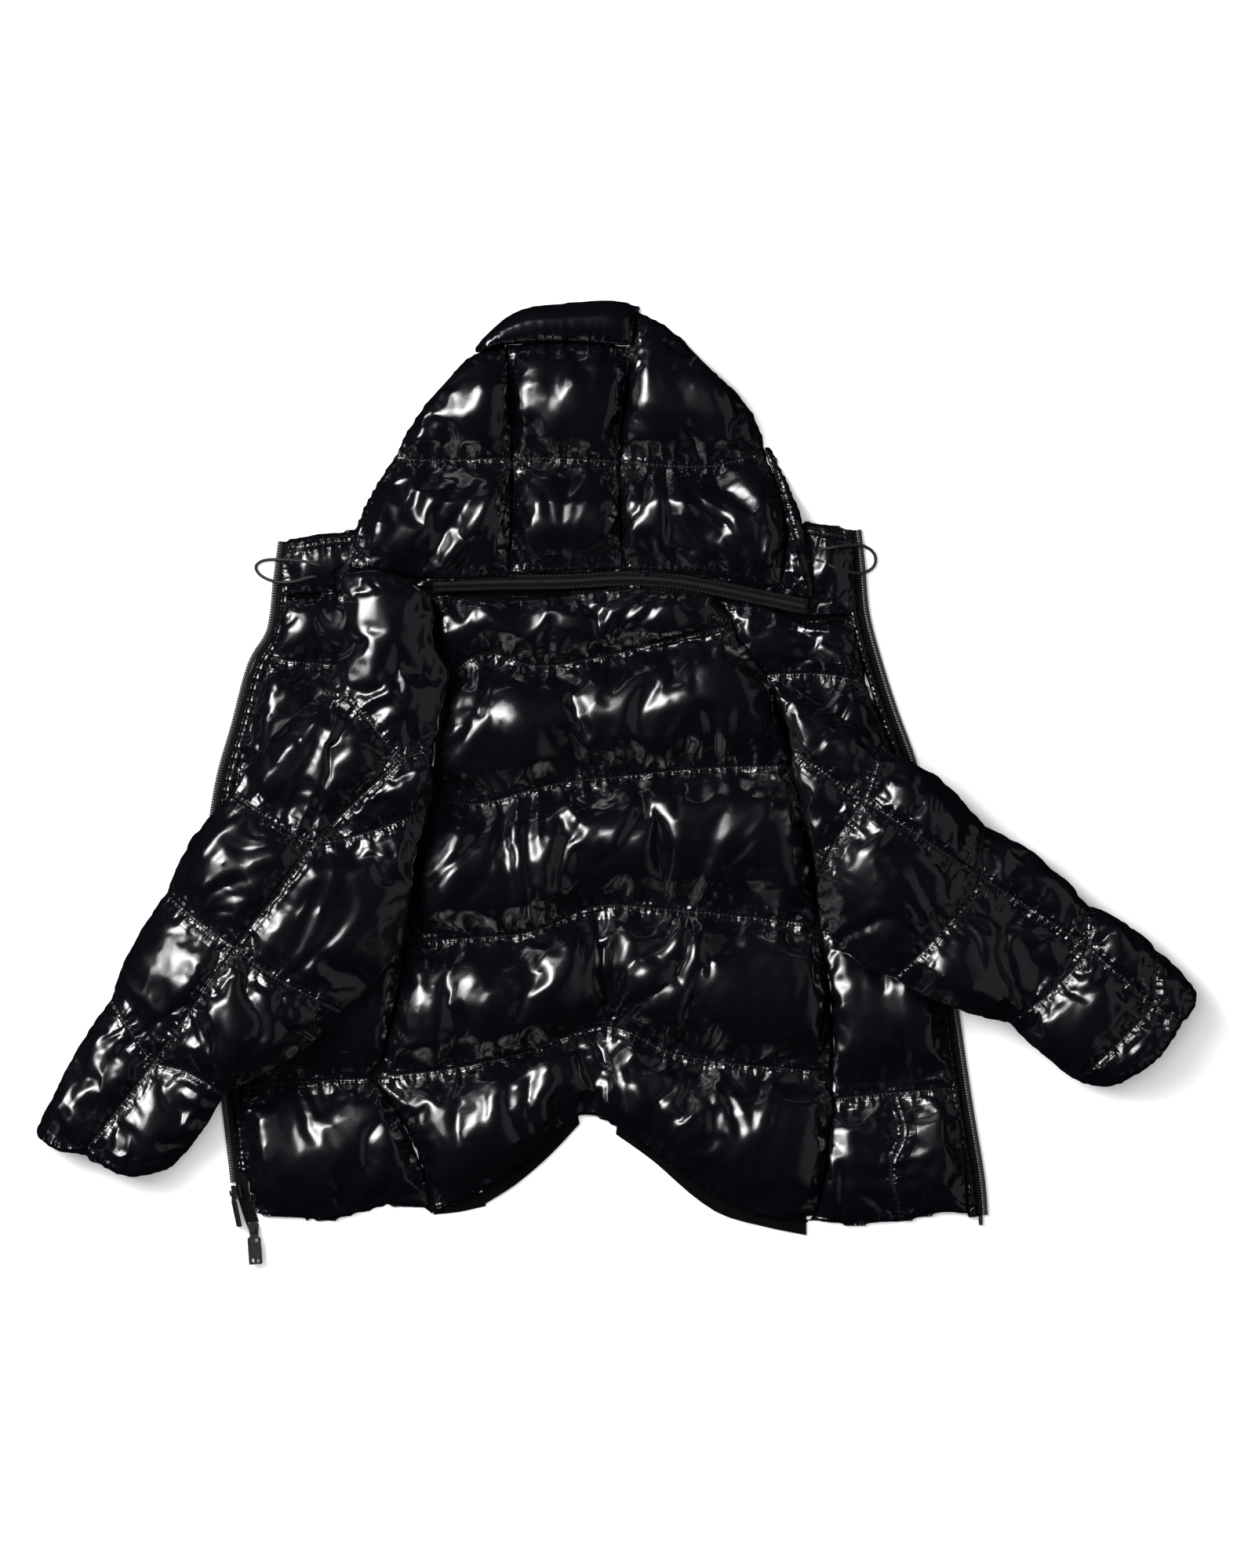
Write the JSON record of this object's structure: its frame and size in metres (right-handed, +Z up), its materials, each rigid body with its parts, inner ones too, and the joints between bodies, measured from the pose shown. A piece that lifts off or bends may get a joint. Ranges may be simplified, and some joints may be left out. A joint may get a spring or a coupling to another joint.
{
  "type": "hooded puffer jacket",
  "caption": "Glossy black hooded puffer jacket laid flat on its face, with its zip front open and its sleeves spread.",
  "frame": {"origin": "middle of the rectangle that the laid-out jacket covers, on the surface that it lies on", "axes": "+X to the right sleeve as seen from above, +Y from the hem to the hood, +Z up out of the back"},
  "size_m": [1.216, 1.0107, 0.0944],
  "materials": {
    "shell": "high gloss coated woven nylon",
    "lining": "matt woven lining",
    "tape": "matt ribbed zip tape",
    "teeth": "semi gloss moulded",
    "hardware": "satin black lacquer",
    "cord": "braided elastic cord"
  },
  "bodies": {
    "root": {"back": "shell", "left_hem_facing": "lining", "right_hem_facing": "lining", "left_front": "shell", "right_front": "shell", "collar": "shell", "hood_centre": "shell", "hood_left": "shell", "hood_right": "shell", "hood_brim": "shell", "hood_band": "shell", "neck_zip": "tape", "left_zip": "tape", "right_zip": "tape", "zip_pin": "hardware", "left_sleeve_outer": "shell", "left_sleeve_inner": "shell", "left_sleeve_under": "shell", "right_sleeve_outer": "shell", "right_sleeve_inner": "shell", "right_sleeve_under": "shell", "upper_slider": "hardware", "lower_slider": "hardware", "left_eyelet_upper": "hardware", "left_eyelet_lower": "hardware", "right_eyelet_upper": "hardware", "right_eyelet_lower": "hardware", "left_cord": "cord", "right_cord": "cord"},
    "upper_pull": {"upper_pull": "hardware"},
    "lower_pull": {"lower_pull": "hardware"}
  },
  "joints": [
    {"name": "upper_pull_swing", "type": "hinge", "parent": "root", "child": "upper_pull", "pos_m": [-0.40317, -0.43018, 0.00885], "axis": [0.3664, 0.0779, 0.9272], "range_deg": [-110, 0]},
    {"name": "lower_pull_lift", "type": "hinge", "parent": "root", "child": "lower_pull", "pos_m": [-0.381, -0.46887, 0.0085], "axis": [0.9976, 0.0698, 0], "range_deg": [-100, 0]}
  ]
}
